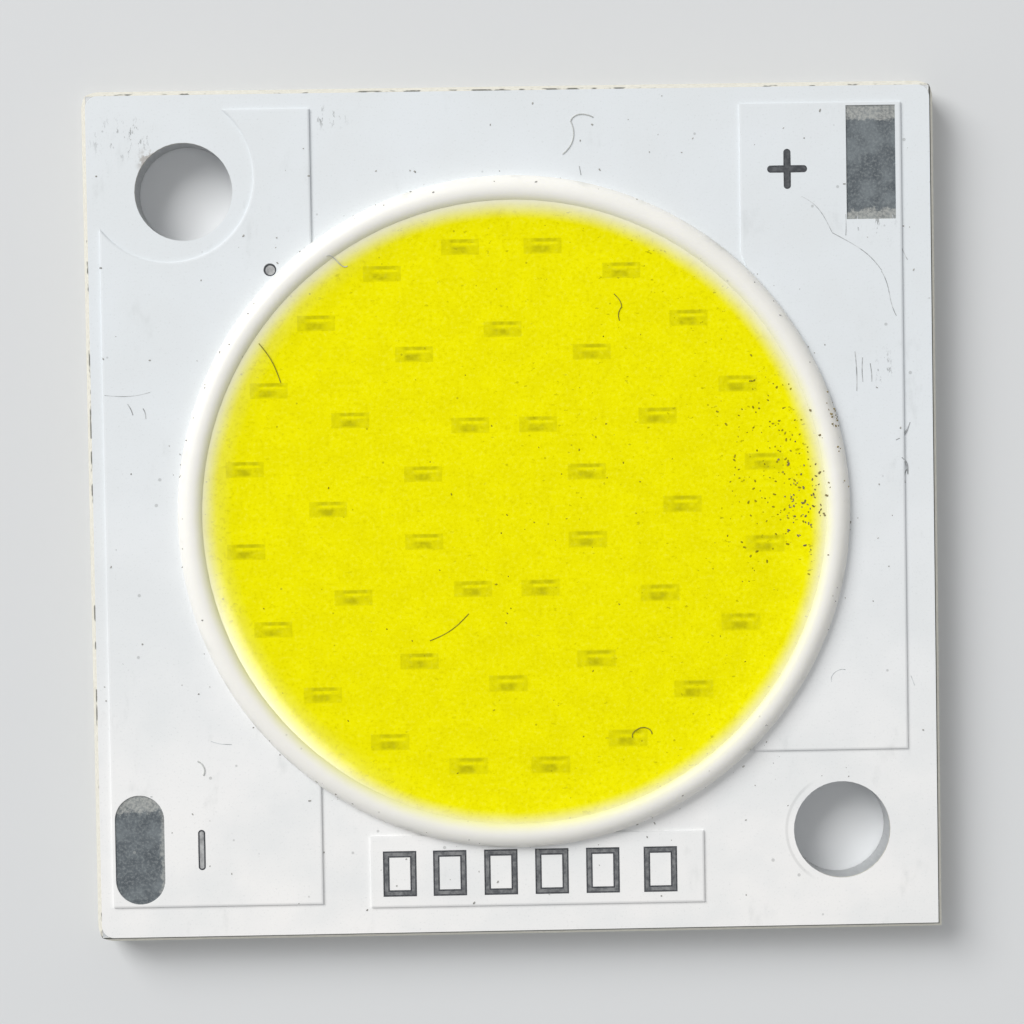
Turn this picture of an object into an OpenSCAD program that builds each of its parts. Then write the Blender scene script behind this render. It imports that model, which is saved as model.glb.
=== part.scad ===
// Chip-on-board light source, also called a COB LED.
// A square aluminium board carries an insulating layer, etched copper and a white solder mask.
// Forty small light-emitting dies sit on the bare, mirror-finished aluminium inside a round
// window, in series strings of ten joined by gold wire. A white silicone dam rings them, and a
// yellow phosphor gel fills the dam and covers the dies and wires.
//
// Millimetres. The origin is the centre of the back face and +Z points out of the lit side. The
// plus pad lies towards +X and +Y.

/* [Board] */
// Width of the board along X, across the snapped edges
board_w = 28; // [27:0.5:34]
// Depth of the board along Y, across the snapped edges
board_d = 28; // [27:0.5:34]
// Thickness of the aluminium base
base_t = 1.3; // [1:0.1:2]
// Radius of the three rounded corners of the lit face; the fourth is sharp
corner_r = 0.4; // [0.25:0.05:0.8]
// How far the scored slope runs in from each edge
score_run = 0.2; // [0.1:0.02:0.3]
// Depth of the score cut into each face
score_deep = 0.42; // [0.3:0.02:0.46]

/* [Layers] */
// Thickness of the insulating layer under the copper
dielectric_t = 0.09; // [0.06:0.01:0.16]
// Thickness of the copper foil
foil_t = 0.07; // [0.035:0.005:0.105]
// Thickness of the white solder mask
mask_t = 0.04; // [0.025:0.005:0.06]
// Width of the mask's step down beside a foil's edge
mask_step = 0.04; // [0.02:0.01:0.08]

/* [Mounting holes] */
// Diameter of the two screw holes, a close fit for M3
hole_d = 3.2; // [2.6:0.1:3.6]
// Distance of each hole's centre from the two board edges next to it
hole_inset = 3.35; // [3:0.05:3.6]
// Diameter kept clear of copper for the screw head at the minus corner
head_clear_d = 5.7; // [5:0.1:6.2]
// How far the head clearance is shifted towards the corner, along X and along Y
head_clear_shift = 0.5; // [0:0.1:0.8]

/* [Minus foil] */
// Distance from the board's left edge to the foil
minus_foil_left = 0.65; // [0.6:0.05:0.9]
// Distance from the board's top edge to the foil
minus_foil_top = 0.75; // [0.6:0.05:1.5]
// Distance from the board's bottom edge to the foil
minus_foil_bottom = 1.25; // [0.6:0.05:1.5]
// Width of the foil along X
minus_foil_w = 6.8; // [6:0.05:7.2]

/* [Plus foil] */
// Distance from the board's right edge to the foil
plus_foil_right = 1.2; // [0.6:0.05:1.3]
// Distance from the board's top edge to the foil
plus_foil_top = 0.8; // [0.6:0.05:1.5]
// Width of the foil along X
plus_foil_w = 5.2; // [4.8:0.05:5.6]
// Length of the foil along Y
plus_foil_l = 21.15; // [20:0.05:21.5]
// Width of the small step in the foil's left edge, beside the dam
foil_jog = 0.22; // [0.1:0.02:0.4]
// Distance from the foil's top edge down to that step
foil_jog_drop = 4.8; // [4.4:0.05:5.2]
// Length of the step's slope along Y
foil_jog_rise = 0.58; // [0.3:0.02:0.9]

/* [Label foil] */
// Width of the loose copper patch under the marking field
label_foil_w = 10.9; // [9:0.1:11.5]
// Distance from the board's bottom edge to the patch
label_foil_bottom = 1.1; // [0.6:0.05:1.5]
// Shift of the patch to the right of the board's centre
label_foil_shift = 0.57; // [0:0.01:0.8]
// Gap between the patch and the nearest curved land
copper_gap = 0.27; // [0.2:0.01:0.4]

/* [Solder pads] */
// Width of each solder pad's opening in the mask
pad_w = 1.62; // [1.2:0.02:1.8]
// Length of the square-ended plus pad
plus_pad_l = 3.72; // [3:0.02:4.2]
// Length of the round-ended minus pad
minus_pad_l = 3.6; // [3:0.02:4.2]
// How far the copper runs on under the mask past the pads' outer edges
pad_lip = 0.05; // [0.03:0.01:0.15]
// How far the plus foil runs on past the plus pad's right edge
plus_pad_side = 0.14; // [0.05:0.01:0.3]
// Diameter of the round probe spot in the mask over the minus foil
probe_d = 0.42; // [0.3:0.02:0.6]
// Gap between the dam's foot and the probe spot
probe_gap = 0.02; // [0.01:0.01:0.6]
// Direction of the probe spot from the board's centre, in degrees from +X
probe_angle = 134.3; // [130:0.1:150]

/* [Dies] */
// Length of a die along X
die_l = 1.3; // [1.1:0.01:1.4]
// Width of a die along Y
die_w = 0.57; // [0.4:0.01:0.65]
// Thickness of a die
die_t = 0.15; // [0.1:0.01:0.18]
// Thickness of the clear adhesive under a die
attach_t = 0.02; // [0.01:0.005:0.03]
// How far the adhesive spreads past a die's foot
attach_spread = 0.03; // [0.01:0.01:0.06]
// Radius of the outer ring of dies
outer_ring_r = 8.64; // [8.5:0.02:8.8]
// Radius of the middle ring of dies
middle_ring_r = 5.76; // [5.5:0.02:6]
// Radius of the inner ring of dies
inner_ring_r = 2.87; // [2.7:0.01:3]
// Shift of the whole die pattern along X, from how the board sat in the placing machine
die_shift_x = -0.3; // [-0.3:0.05:0.3]
// Shift of the whole die pattern along Y
die_shift_y = 0.2; // [-0.3:0.05:0.3]

/* [Emitting window] */
// Clearance between the outermost die and the edge of the insulating layer's window
window_clear = 0.05; // [0.04:0.01:0.1]
// Width of the insulating ledge between that window and the copper lands
ledge_w = 0.08; // [0.05:0.01:0.12]
// Width of land left bare inside the dam's foot, where the wires end
land_show = 0.19; // [0.15:0.01:0.25]
// How far the lands run on under the dam
land_under_dam = 0.3; // [0.2:0.01:0.4]
// How far the mask laps over the lands' outer rims
land_lap = 0.15; // [0.05:0.01:0.18]
// Gap between the plus land and the minus land, top and bottom
land_gap = 0.6; // [0.4:0.05:1.2]

/* [Dam] */
// Width of the silicone dam's foot
dam_w = 0.98; // [0.9:0.02:1.1]
// Height of the dam's crest above the mask over the copper
dam_h = 0.48; // [0.44:0.01:0.49]

/* [Phosphor fill] */
// Depth of the fill at its middle, above the aluminium
fill_t = 0.42; // [0.4:0.01:0.45]
// How far the fill climbs the dam above its middle level
fill_climb = 0.12; // [0.06:0.01:0.14]
// Width of the climbing rim
fill_rim_w = 1.3; // [0.8:0.05:2]

/* [Bond wires] */
// Diameter of the gold wire
wire_d = 0.03; // [0.02:0.0025:0.035]
// Diameter of the gold ball that holds each wire end
ball_d = 0.09; // [0.07:0.01:0.11]
// Height of a ball's centre above the die that it is pressed on to
ball_seat = 0.02; // [0.018:0.001:0.03]
// Distance of a die's two wire spots from its centre, along X
die_spot_x = 0.45; // [0.3:0.01:0.48]
// Rise of the shortest wires above their ends
loop_rise = 0.1; // [0.06:0.01:0.12]
// Extra rise for each millimetre of a wire's span
loop_slope = 0.02; // [0.005:0.005:0.025]

/* [Hidden] */
LONG_FN = 180;   // long arcs: window, lands, dam, fill
HOLE_FN = 72;    // screw holes and head clearance
SMALL_FN = 24;   // rounded corners, pad ends, probe spot
WIRE_FN = 14;    // section of the wires
CUT = 0.5;       // how far a cutting solid runs past a face

OUTER_COUNT = 20;
MIDDLE_COUNT = 12;
INNER_COUNT = 8;
OUTER_START = 9;       // direction of each ring's first die, in degrees from +X
MIDDLE_START = 0;
INNER_START = 22.5;

// Levels above the back face
dielectric_z = base_t + dielectric_t;
foil_z = dielectric_z + foil_t;
mask_low_z = dielectric_z + mask_t;
mask_high_z = foil_z + mask_t;
attach_z = base_t + attach_t;
die_z = attach_z + die_t;
fill_mid_z = base_t + fill_t;
fill_edge_z = fill_mid_z + fill_climb;
wire_end_z = max(die_z, foil_z) + ball_seat;

// The lit face, inside the scored slopes
face_w = board_w - 2 * score_run;
face_d = board_d - 2 * score_run;

// Screw holes: one in the minus foil's corner, top left, and one opposite
hole_x = board_w / 2 - hole_inset;
hole_y = board_d / 2 - hole_inset;
head_x = -hole_x - head_clear_shift;
head_y = hole_y + head_clear_shift;

// Centres of all the dies, ring by ring from the outside in
function ring(count, radius, start) = [
    for (k = [0 : count - 1])
        let (a = start + k * 360 / count)
        [die_shift_x + radius * cos(a), die_shift_y + radius * sin(a)]
];
DIES = concat(
    ring(OUTER_COUNT, outer_ring_r, OUTER_START),
    ring(MIDDLE_COUNT, middle_ring_r, MIDDLE_START),
    ring(INNER_COUNT, inner_ring_r, INNER_START)
);
DIE_COUNT = len(DIES);

// Distance from the board's centre to the outermost corner of any die
die_reach = max([for (p = DIES) norm([abs(p.x) + die_l / 2, abs(p.y) + die_w / 2])]);

// Radii round the emitting window, each one worked out from the one inside it
window_r = die_reach + attach_spread + window_clear;
land_in_r = window_r + ledge_w;
dam_in_r = land_in_r + land_show;
land_out_r = dam_in_r + land_under_dam;
mask_in_r = land_out_r - land_lap;
dam_out_r = dam_in_r + dam_w;
dam_mid_r = (dam_in_r + dam_out_r) / 2;
wire_land_r = (land_in_r + dam_in_r) / 2;

// The dam's bead is a round section cut off by the mask, with the foot's width as its chord. A
// bead higher than half that width is a half round on upright walls.
bead_r = dam_h > dam_w / 2 ? dam_w / 2 : (pow(dam_w / 2, 2) + pow(dam_h, 2)) / (2 * dam_h);
bead_z = mask_high_z + dam_h - bead_r;
wall_top_z = max(mask_high_z, bead_z);

// The fill touches the bead's inner side, and its rim is an arc that starts off level
fill_touch_r = dam_mid_r - sqrt(pow(bead_r, 2) - pow(fill_edge_z - bead_z, 2));
fill_flat_r = fill_touch_r - fill_rim_w;
rim_arc_r = (pow(fill_rim_w, 2) + pow(fill_climb, 2)) / (2 * fill_climb);

// Foil edges
minus_left = -board_w / 2 + minus_foil_left;
minus_right = minus_left + minus_foil_w;
minus_bottom = -board_d / 2 + minus_foil_bottom;
minus_top = board_d / 2 - minus_foil_top;
plus_right = board_w / 2 - plus_foil_right;
plus_left = plus_right - plus_foil_w;
plus_top = board_d / 2 - plus_foil_top;
plus_bottom = plus_top - plus_foil_l;
label_left = label_foil_shift - label_foil_w / 2;
label_right = label_left + label_foil_w;
label_bottom = -board_d / 2 + label_foil_bottom;
label_top = -land_out_r - copper_gap;

// Pads sit in their foils' outer corners
plus_pad_x = plus_right - plus_pad_side - pad_w / 2;
plus_pad_y = plus_top - pad_lip - plus_pad_l / 2;
minus_pad_x = minus_left + pad_lip + pad_w / 2;
minus_pad_y = minus_bottom + pad_lip + minus_pad_l / 2;
probe_r = dam_out_r + probe_gap + probe_d / 2;

// Series strings: the dies in each one, in the order that the wires visit them. The upper two run
// from the plus land to the minus land. Half a turn of the pattern gives the lower two, which run
// the other way. No wire crosses another.
function outer_die(k, turn) = k + turn * OUTER_COUNT / 2;
function middle_die(k, turn) = OUTER_COUNT + k + turn * MIDDLE_COUNT / 2;
function inner_die(k, turn) = OUTER_COUNT + MIDDLE_COUNT + k + turn * INNER_COUNT / 2;
function rim_string(turn) = [
    outer_die(1, turn), outer_die(2, turn), outer_die(3, turn), middle_die(2, turn),
    outer_die(4, turn), outer_die(5, turn), middle_die(4, turn), outer_die(6, turn),
    outer_die(7, turn), outer_die(8, turn)
];
function core_string(turn) = [
    outer_die(0, turn), middle_die(0, turn), middle_die(1, turn), inner_die(0, turn),
    inner_die(1, turn), middle_die(3, turn), inner_die(2, turn), inner_die(3, turn),
    middle_die(5, turn), outer_die(9, turn)
];
STRINGS = [rim_string(0), core_string(0), rim_string(1), core_string(1)];
// Half turns of each string, and the side of a die that its wires come in by: 1 is the +X side
STRING_TURN = [0, 0, 1, 1];
function entry_side(s) = STRING_TURN[s] == 0 ? 1 : -1;
// Direction from the board's centre of the land spot beside an outer die
function spot_angle(die) = OUTER_START + die * 360 / OUTER_COUNT;

function two_digits(n) = n < 10 ? str("0", n) : str(n);
function die_name(i) = str("led_die_", two_digits(i + 1));
function string_name(i) = str("bond_wires_", i + 1);

// ---- Flat outlines ----

// A rectangle given by its four edges
module box_2d(left, bottom, right, top) {
    translate([left, bottom]) square([right - left, top - bottom]);
}

// A rectangle about the centre whose corners are rounded, all but the one at +X and -Y
module board_outline(w, d, r) {
    difference() {
        square([w, d], center = true);
        for (s = [[-1, 1], [1, 1], [-1, -1]])
            mirror([s.x < 0 ? 1 : 0, 0]) mirror([0, s.y < 0 ? 1 : 0])
                translate([w / 2 - r, d / 2 - r])
                    difference() {
                        square(r + CUT);
                        circle(r, $fn = SMALL_FN);
                    }
    }
}

module hole_outlines() {
    for (s = [-1, 1]) translate([s * hole_x, -s * hole_y]) circle(d = hole_d, $fn = HOLE_FN);
}

// One land: half of the ring round the window, on the +X side for side 1
module land_outline(side, grow) {
    intersection() {
        circle(land_out_r + grow, $fn = LONG_FN);
        mirror([side < 0 ? 1 : 0, 0])
            box_2d(land_gap / 2 - grow, -land_out_r - CUT, land_out_r + CUT, land_out_r + CUT);
    }
}

// Each foil's outline, made larger all round by grow where the mask is draped over it
module minus_foil_outline(grow = 0) {
    difference() {
        union() {
            box_2d(minus_left - grow, minus_bottom - grow, minus_right + grow, minus_top + grow);
            land_outline(-1, grow);
        }
        circle(land_in_r - grow, $fn = LONG_FN);
        translate([head_x, head_y]) circle(d = head_clear_d - 2 * grow, $fn = HOLE_FN);
        box_2d(minus_left - CUT, head_y, head_x, minus_top + CUT);
    }
}

module plus_foil_outline(grow = 0) {
    jog_top = plus_top - foil_jog_drop;
    difference() {
        union() {
            polygon([
                [plus_left - grow, jog_top],
                [plus_left + foil_jog - grow, jog_top - foil_jog_rise],
                [plus_left + foil_jog - grow, plus_bottom - grow],
                [plus_right + grow, plus_bottom - grow],
                [plus_right + grow, plus_top + grow],
                [plus_left - grow, plus_top + grow]
            ]);
            land_outline(1, grow);
        }
        circle(land_in_r - grow, $fn = LONG_FN);
    }
}

module label_foil_outline(grow = 0) {
    box_2d(label_left - grow, label_bottom - grow, label_right + grow, label_top + grow);
}

// Openings in the mask that bare the copper
module plus_pad_outline() {
    translate([plus_pad_x, plus_pad_y]) square([pad_w, plus_pad_l], center = true);
}

module minus_pad_outline() {
    straight = minus_pad_l - pad_w;
    translate([minus_pad_x, minus_pad_y]) {
        square([pad_w, straight], center = true);
        for (s = [-1, 1]) translate([0, s * straight / 2]) circle(d = pad_w, $fn = 2 * SMALL_FN);
    }
}

module probe_outline() {
    rotate(probe_angle) translate([probe_r, 0]) circle(d = probe_d, $fn = SMALL_FN);
}

// Radial section of the dam from the level foot_z up: X is the radius and Y the height
module dam_section(foot_z) {
    intersection() {
        translate([dam_mid_r, bead_z]) circle(bead_r, $fn = LONG_FN / 3);
        box_2d(dam_in_r - CUT, mask_high_z, dam_out_r + CUT, bead_z + bead_r + CUT);
    }
    box_2d(dam_in_r, foot_z, dam_out_r, wall_top_z);
}

// Radial section of the fill: level in the middle, with an arc that climbs to the dam
module fill_section() {
    difference() {
        box_2d(0, base_t, dam_mid_r, fill_edge_z);
        box_2d(-CUT, fill_mid_z, fill_flat_r, fill_edge_z + CUT);
        intersection() {
            translate([fill_flat_r, fill_mid_z + rim_arc_r]) circle(rim_arc_r, $fn = 4 * LONG_FN);
            box_2d(fill_flat_r, fill_mid_z - CUT, fill_touch_r, fill_edge_z + CUT);
        }
        dam_section(base_t);
    }
}

// ---- The board and its layers ----

// Section across the board: a score cut into each face leaves a slope, and the rest is snapped
module scored_section(w) {
    face = w / 2 - score_run;
    web_top = base_t - score_deep;
    polygon([
        [-face, 0], [face, 0], [w / 2, score_deep], [w / 2, web_top],
        [face, base_t], [-face, base_t], [-w / 2, web_top], [-w / 2, score_deep]
    ]);
}

module base_plate() {
    color("silver") difference() {
        intersection() {
            rotate([90, 0, 0]) linear_extrude(board_d + 2 * CUT, center = true)
                scored_section(board_w);
            rotate([90, 0, 90]) linear_extrude(board_w + 2 * CUT, center = true)
                scored_section(board_d);
            linear_extrude(base_t) board_outline(board_w, board_d, corner_r + score_run);
        }
        translate([0, 0, -CUT]) linear_extrude(base_t + 2 * CUT) hole_outlines();
    }
}

module dielectric_layer() {
    color("gainsboro") translate([0, 0, base_t]) linear_extrude(dielectric_t) difference() {
        board_outline(face_w, face_d, corner_r);
        circle(window_r, $fn = LONG_FN);
        hole_outlines();
    }
}

module minus_foil() {
    color("peru") translate([0, 0, dielectric_z]) linear_extrude(foil_t) minus_foil_outline();
}

module plus_foil() {
    color("peru") translate([0, 0, dielectric_z]) linear_extrude(foil_t) plus_foil_outline();
}

module label_foil() {
    color("peru") translate([0, 0, dielectric_z]) linear_extrude(foil_t) label_foil_outline();
}

// The mask lies low on the insulating layer and steps up over each foil
module solder_mask() {
    color("whitesmoke") difference() {
        translate([0, 0, dielectric_z]) {
            linear_extrude(mask_t) board_outline(face_w, face_d, corner_r);
            linear_extrude(foil_t + mask_t) {
                minus_foil_outline(mask_step);
                plus_foil_outline(mask_step);
                label_foil_outline(mask_step);
            }
        }
        minus_foil();
        plus_foil();
        label_foil();
        translate([0, 0, dielectric_z - CUT]) linear_extrude(foil_t + mask_t + 2 * CUT) {
            circle(mask_in_r, $fn = LONG_FN);
            hole_outlines();
            plus_pad_outline();
            minus_pad_outline();
            probe_outline();
        }
    }
}

// ---- The dam and the fill ----

// The silicone is laid wet, so its foot takes up every step of the mask and the lands
module dam_ring() {
    color("ivory") difference() {
        rotate_extrude($fn = LONG_FN) dam_section(dielectric_z);
        solder_mask();
        minus_foil();
        plus_foil();
        label_foil();
    }
}

module phosphor_fill() {
    color("yellow") difference() {
        rotate_extrude($fn = LONG_FN) fill_section();
        dielectric_layer();
        minus_foil();
        plus_foil();
        die_attach();
        for (i = [0 : DIE_COUNT - 1]) led_die(i);
        for (i = [0 : len(STRINGS) - 1]) bond_wires(i);
    }
}

// ---- Dies and wires ----

module die_attach() {
    color("lightyellow") for (p = DIES)
        translate([p.x, p.y, base_t + attach_t / 2])
            cube([die_l + 2 * attach_spread, die_w + 2 * attach_spread, attach_t], center = true);
}

module led_die(i) {
    color("lightsteelblue") translate([DIES[i].x, DIES[i].y, attach_z + die_t / 2])
        cube([die_l, die_w, die_t], center = true);
}

// A gold ball pressed flat on to a spot, given as its X, its Y and the level of the metal under it
module ball(spot) {
    intersection() {
        translate([spot.x, spot.y, wire_end_z]) sphere(d = ball_d, $fn = SMALL_FN);
        translate([spot.x, spot.y, spot.z]) cylinder(d = 2 * ball_d, h = 2 * ball_d, $fn = SMALL_FN);
    }
}

// One wire between two spots, with a ball at each end
module wire(from, to) {
    run = [to.x - from.x, to.y - from.y];
    span = norm(run);
    rise = loop_rise + loop_slope * span;
    arc_r = (pow(span / 2, 2) + pow(rise, 2)) / (2 * rise);
    half_angle = asin(span / 2 / arc_r);
    ball(from);
    ball(to);
    translate([(from.x + to.x) / 2, (from.y + to.y) / 2, wire_end_z + rise - arc_r])
        rotate([90, 0, atan2(run.y, run.x)])
            rotate([0, 0, 90 - half_angle])
                rotate_extrude(angle = 2 * half_angle, $fn = LONG_FN)
                    translate([arc_r, 0]) circle(d = wire_d, $fn = WIRE_FN);
}

function land_spot(a) = [wire_land_r * cos(a), wire_land_r * sin(a), foil_z];
function die_spot(i, side) = [DIES[i].x + side * die_spot_x, DIES[i].y, die_z];

// The wires of one string: land to first die, die to die, and last die to the other land
module bond_wires(s) {
    order = STRINGS[s];
    side = entry_side(s);
    last = len(order) - 1;
    color("gold") {
        wire(land_spot(spot_angle(order[0])), die_spot(order[0], side));
        for (k = [0 : last - 1]) wire(die_spot(order[k], -side), die_spot(order[k + 1], side));
        wire(die_spot(order[last], -side), land_spot(spot_angle(order[last])));
    }
}

base_plate();
dielectric_layer();
minus_foil();
plus_foil();
label_foil();
solder_mask();
dam_ring();
phosphor_fill();
die_attach();
for (i = [0 : DIE_COUNT - 1])
    led_die(i);
for (i = [0 : len(STRINGS) - 1])
    bond_wires(i);
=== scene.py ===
"""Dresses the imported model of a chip-on-board light source.

Metres throughout, in the CAD frame: the origin is the centre of the back face, +Z points out of
the lit side, and the plus pad lies towards +X and +Y. The sizes in the classes are millimetres.
"""

import logging
import math
import random
from dataclasses import dataclass, field
from enum import Enum
from typing import Callable, ClassVar, Union

import bpy
from mathutils import Euler, Matrix, Vector


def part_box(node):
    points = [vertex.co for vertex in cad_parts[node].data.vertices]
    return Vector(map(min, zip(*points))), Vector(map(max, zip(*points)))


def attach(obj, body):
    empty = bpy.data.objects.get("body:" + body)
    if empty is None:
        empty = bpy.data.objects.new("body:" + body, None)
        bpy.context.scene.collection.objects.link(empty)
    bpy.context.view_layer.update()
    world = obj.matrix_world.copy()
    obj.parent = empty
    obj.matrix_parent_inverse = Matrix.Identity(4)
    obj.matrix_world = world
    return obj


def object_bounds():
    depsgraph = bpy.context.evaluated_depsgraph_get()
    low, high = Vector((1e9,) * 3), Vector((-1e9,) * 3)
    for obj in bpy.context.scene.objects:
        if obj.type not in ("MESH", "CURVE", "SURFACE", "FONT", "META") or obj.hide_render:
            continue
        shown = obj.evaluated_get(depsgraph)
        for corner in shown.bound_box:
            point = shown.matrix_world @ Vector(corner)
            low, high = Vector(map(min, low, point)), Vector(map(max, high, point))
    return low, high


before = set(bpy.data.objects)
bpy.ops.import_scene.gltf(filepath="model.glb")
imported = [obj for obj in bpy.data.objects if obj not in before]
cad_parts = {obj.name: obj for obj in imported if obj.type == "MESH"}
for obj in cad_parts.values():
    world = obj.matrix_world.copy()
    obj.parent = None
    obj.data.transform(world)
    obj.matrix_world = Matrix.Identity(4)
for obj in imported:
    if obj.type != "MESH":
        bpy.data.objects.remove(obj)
CAD_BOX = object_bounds()

MM = 0.001
BODY = "root"
CREST = CAD_BOX[1][2] / MM
# Radius within which what lies on the part lies on the silicone, and the lowest upper face
GEL_REACH = 10.8
FACE_LEVEL = 1.4
# Height above the part that a probing ray starts from, and the turn that stays a sharp edge
RAY_TOP = 0.01
SHARP_EDGE = math.radians(50)
FILM = 36.0
log = logging.getLogger("cob")

Colour = tuple[float, float, float, float]


def tint(red: int, green: int, blue: int) -> Colour:
    """A colour as a screen shows it, 0 to 255 a channel, made linear for a shader.

    Args:
        red: Red channel.
        green: Green channel.
        blue: Blue channel.

    Returns:
        The linear colour with full alpha.
    """
    def straight(channel: int) -> float:
        """One channel made linear."""
        part = channel / 255
        return part / 12.92 if part <= 0.04045 else ((part + 0.055) / 1.055) ** 2.4

    return straight(red), straight(green), straight(blue), 1.0


# ---- Shader sums ----


class Signal:
    """A socket of a node tree that takes part in sums."""

    def __init__(self, tree: "Tree", socket: bpy.types.NodeSocket) -> None:
        """Wraps one output socket of a tree."""
        self.tree = tree
        self.socket = socket

    def _sum(self, operation: str, *terms: "Term") -> "Signal":
        """One Math node on the terms."""
        return self.tree.node("ShaderNodeMath", {"operation": operation}, dict(enumerate(terms)))

    def __add__(self, other: "Term") -> "Signal":
        """Sum."""
        return self._sum("ADD", self, other)

    __radd__ = __add__

    def __sub__(self, other: "Term") -> "Signal":
        """Difference."""
        return self._sum("SUBTRACT", self, other)

    def __rsub__(self, other: "Term") -> "Signal":
        """Difference, the other way round."""
        return self._sum("SUBTRACT", other, self)

    def __mul__(self, other: "Term") -> "Signal":
        """Product."""
        return self._sum("MULTIPLY", self, other)

    __rmul__ = __mul__

    def __truediv__(self, other: "Term") -> "Signal":
        """Quotient."""
        return self._sum("DIVIDE", self, other)

    def __pow__(self, other: "Term") -> "Signal":
        """Power."""
        return self._sum("POWER", self, other)

    def __abs__(self) -> "Signal":
        """Size without its sign."""
        return self._sum("ABSOLUTE", self)

    def __neg__(self) -> "Signal":
        """Opposite sign."""
        return self._sum("MULTIPLY", self, -1.0)

    def over(self, other: "Term") -> "Signal":
        """1 where this is more than the other, else 0."""
        return self._sum("GREATER_THAN", self, other)

    def larger(self, other: "Term") -> "Signal":
        """The larger of the two."""
        return self._sum("MAXIMUM", self, other)

    def smaller(self, other: "Term") -> "Signal":
        """The smaller of the two."""
        return self._sum("MINIMUM", self, other)

    def rounded(self) -> "Signal":
        """The nearest whole number."""
        return self._sum("ROUND", self)

    def cos(self) -> "Signal":
        """Cosine of an angle in radians."""
        return self._sum("COSINE", self)

    def sin(self) -> "Signal":
        """Sine of an angle in radians."""
        return self._sum("SINE", self)

    def angle_with(self, other: "Signal") -> "Signal":
        """The direction of the point (other, this), in radians from the other's axis."""
        return self._sum("ARCTAN2", self, other)

    def rise(self, low: "Term", high: "Term") -> "Signal":
        """0 up to low, 1 from high on, and a smooth step between them."""
        return self.tree.node(
            "ShaderNodeMapRange",
            {"interpolation_type": "SMOOTHSTEP"},
            {"Value": self, "From Min": low, "From Max": high},
        )


Term = Union[Signal, float]


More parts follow.
